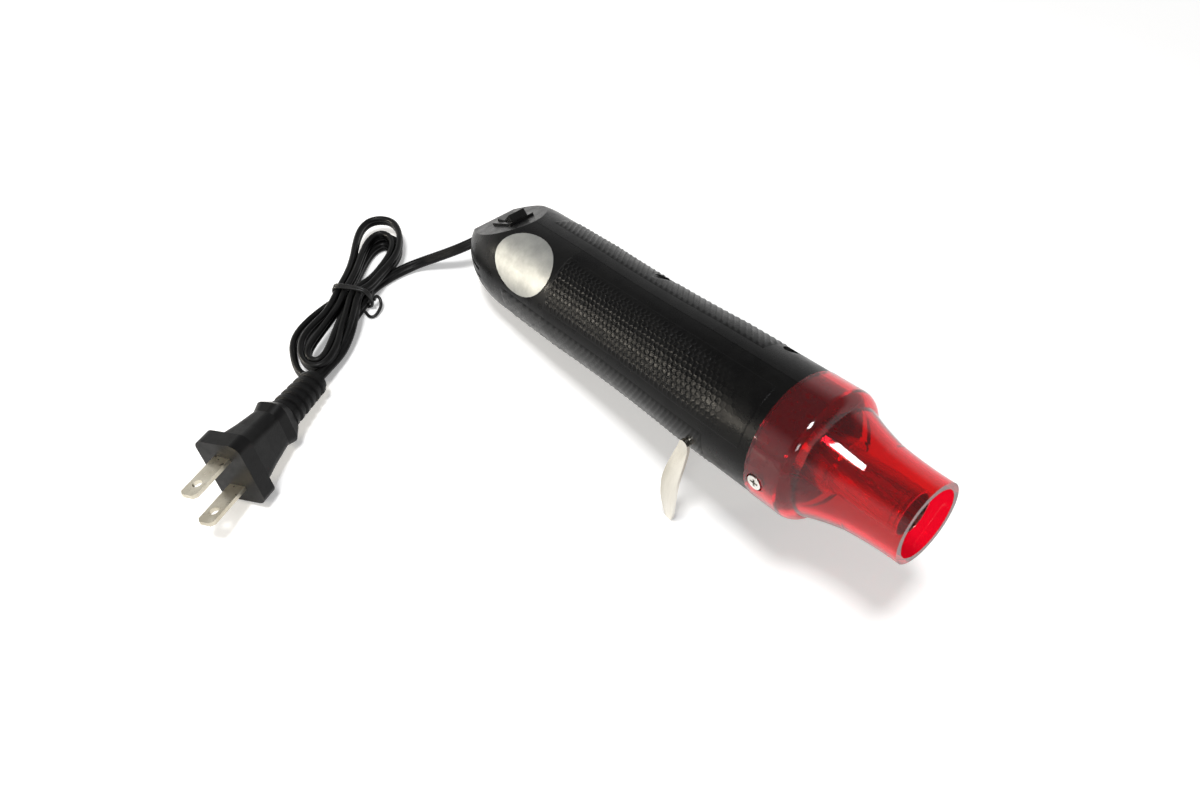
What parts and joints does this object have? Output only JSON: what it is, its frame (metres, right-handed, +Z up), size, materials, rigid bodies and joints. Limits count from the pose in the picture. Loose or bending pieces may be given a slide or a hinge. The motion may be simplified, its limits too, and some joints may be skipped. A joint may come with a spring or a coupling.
{
  "type": "embossing heat tool",
  "caption": "Pen-style embossing heat tool: black barrel with rocker switch, red see-through nozzle guard, steel flip-out legs, cord in a tied hank with a flat plug.",
  "frame": {"origin": "on the table, under the middle of the tool's length and width, the cord left out", "axes": "+X towards the nozzle, +Y away from the side with the rating oval, +Z up; the tool lies nose up by 10.67 degrees"},
  "size_m": [0.2612, 0.1782, 0.0697],
  "materials": {
    "housing_black": "satin",
    "guard_red": "gloss",
    "screw_steel": "satin",
    "tube_steel": "satin",
    "mica": "matte",
    "coil_wire": "matte",
    "cutoff_can": "satin",
    "motor_steel": "satin",
    "shaft_steel": "polished",
    "inner_plastic": "matte",
    "board": "matte",
    "diode_black": "matte",
    "switch_black": "satin",
    "brass": "satin",
    "cord_black": "satin",
    "wire_sleeve": "matte",
    "stand_steel": "polished",
    "label_silver": "satin",
    "grommet_rubber": "matte",
    "tie_black": "satin",
    "plug_black": "satin",
    "blade_steel": "satin"
  },
  "bodies": {
    "body": {"housing_left": "housing_black", "housing_right": "housing_black", "nozzle_guard": "guard_red", "guard_screws": "screw_steel", "housing_screws": "screw_steel", "heater_tube": "tube_steel", "mica_liner": "mica", "mica_cross": "mica", "heating_coil": "coil_wire", "thermal_cutoff": "cutoff_can", "motor_can": "motor_steel", "motor_end_cap": "inner_plastic", "fan_shroud": "inner_plastic", "circuit_board": "board", "rectifier_diodes": "diode_black", "switch_terminals": "brass", "cord_clamp": "inner_plastic", "clamp_screws": "screw_steel", "cord_core": "cord_black", "lead_wires": "wire_sleeve", "switch_body": "switch_black", "rating_label": "label_silver", "cord_lead": "cord_black", "cord_hank": "cord_black", "cord_end": "cord_black", "twist_tie": "tie_black", "plug_body": "plug_black", "plug_strain_relief": "plug_black", "plug_blades": "blade_steel", "cord_grommet": "grommet_rubber"},
    "rotor": {"fan_impeller": "inner_plastic", "motor_shaft": "shaft_steel"},
    "rocker": {"switch_rocker": "switch_black"},
    "left_leg": {"stand_leg_left": "stand_steel"},
    "right_leg": {"stand_leg_right": "stand_steel"}
  },
  "joints": [
    {"name": "fan_spin", "type": "hinge", "parent": "body", "child": "rotor", "pos_m": [-0.06316, 0, 0.02409], "axis": [0.9827, 0, 0.1852], "continuous": true},
    {"name": "switch_rock", "type": "hinge", "parent": "body", "child": "rocker", "pos_m": [-0.08805, 0, 0.03465], "axis": [0, 1, 0], "range_deg": [0, 16]},
    {"name": "stand_left_fold", "type": "hinge", "parent": "body", "child": "left_leg", "pos_m": [0.03303, 0, 0.03743], "axis": [0, 1, 0], "range_deg": [0, 82]},
    {"name": "stand_right_fold", "type": "hinge", "parent": "body", "child": "right_leg", "pos_m": [0.03303, 0, 0.03743], "axis": [0, 1, 0], "range_deg": [0, 82]}
  ]
}
